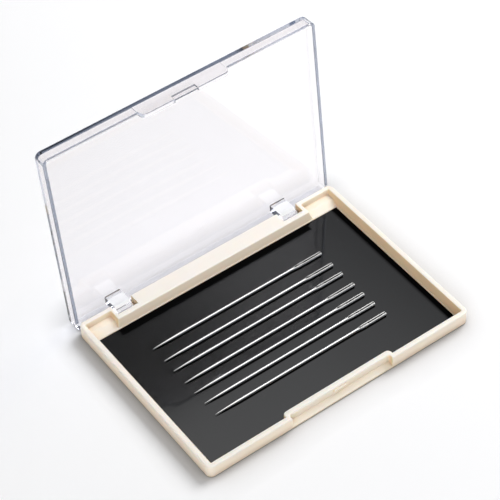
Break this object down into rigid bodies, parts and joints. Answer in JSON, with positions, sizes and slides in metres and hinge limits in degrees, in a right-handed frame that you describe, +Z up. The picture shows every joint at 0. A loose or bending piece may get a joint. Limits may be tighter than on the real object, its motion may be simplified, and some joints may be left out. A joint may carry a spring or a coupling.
{
  "type": "magnetic needle case",
  "caption": "Flat hinged case with a clear lid, whose magnetic floor holds a row of long sewing needles in place.",
  "frame": {"origin": "middle of the tray's flat underside, on which the case stands", "axes": "+X along the hinge towards the needles' eyes, +Y from the thumb recess to the hinge, +Z up"},
  "size_m": [0.105, 0.0871, 0.0754],
  "materials": {
    "ivory_plastic": "moulded, satin",
    "magnetic_rubber": "matt",
    "adhesive": "plain",
    "clear_plastic": "clear, polished",
    "needle_steel": "bright nickel plate"
  },
  "bodies": {
    "tray": {"base_tray": "ivory_plastic", "magnetic_sheet": "magnetic_rubber", "adhesive_film": "adhesive"},
    "lid": {"clear_lid": "clear_plastic"},
    "needle_a": {"needle_1": "needle_steel"},
    "needle_b": {"needle_2": "needle_steel"},
    "needle_c": {"needle_3": "needle_steel"},
    "needle_d": {"needle_4": "needle_steel"},
    "needle_e": {"needle_5": "needle_steel"},
    "needle_f": {"needle_6": "needle_steel"},
    "needle_g": {"needle_7": "needle_steel"}
  },
  "joints": [
    {"name": "lid_hinge", "type": "hinge", "parent": "tray", "child": "lid", "pos_m": [0, 0.03575, 0.00244], "axis": [1, 0, 0], "range_deg": [0, 94.5]},
    {"name": "lift_a", "type": "slide", "parent": "tray", "child": "needle_a", "axis": [0, 0, 1], "range_m": [0, 0.005]},
    {"name": "lift_b", "type": "slide", "parent": "tray", "child": "needle_b", "axis": [0, 0, 1], "range_m": [0, 0.005]},
    {"name": "lift_c", "type": "slide", "parent": "tray", "child": "needle_c", "axis": [0, 0, 1], "range_m": [0, 0.005]},
    {"name": "lift_d", "type": "slide", "parent": "tray", "child": "needle_d", "axis": [0, 0, 1], "range_m": [0, 0.005]},
    {"name": "lift_e", "type": "slide", "parent": "tray", "child": "needle_e", "axis": [0, 0, 1], "range_m": [0, 0.005]},
    {"name": "lift_f", "type": "slide", "parent": "tray", "child": "needle_f", "axis": [0, 0, 1], "range_m": [0, 0.005]},
    {"name": "lift_g", "type": "slide", "parent": "tray", "child": "needle_g", "axis": [0, 0, 1], "range_m": [0, 0.005]}
  ]
}
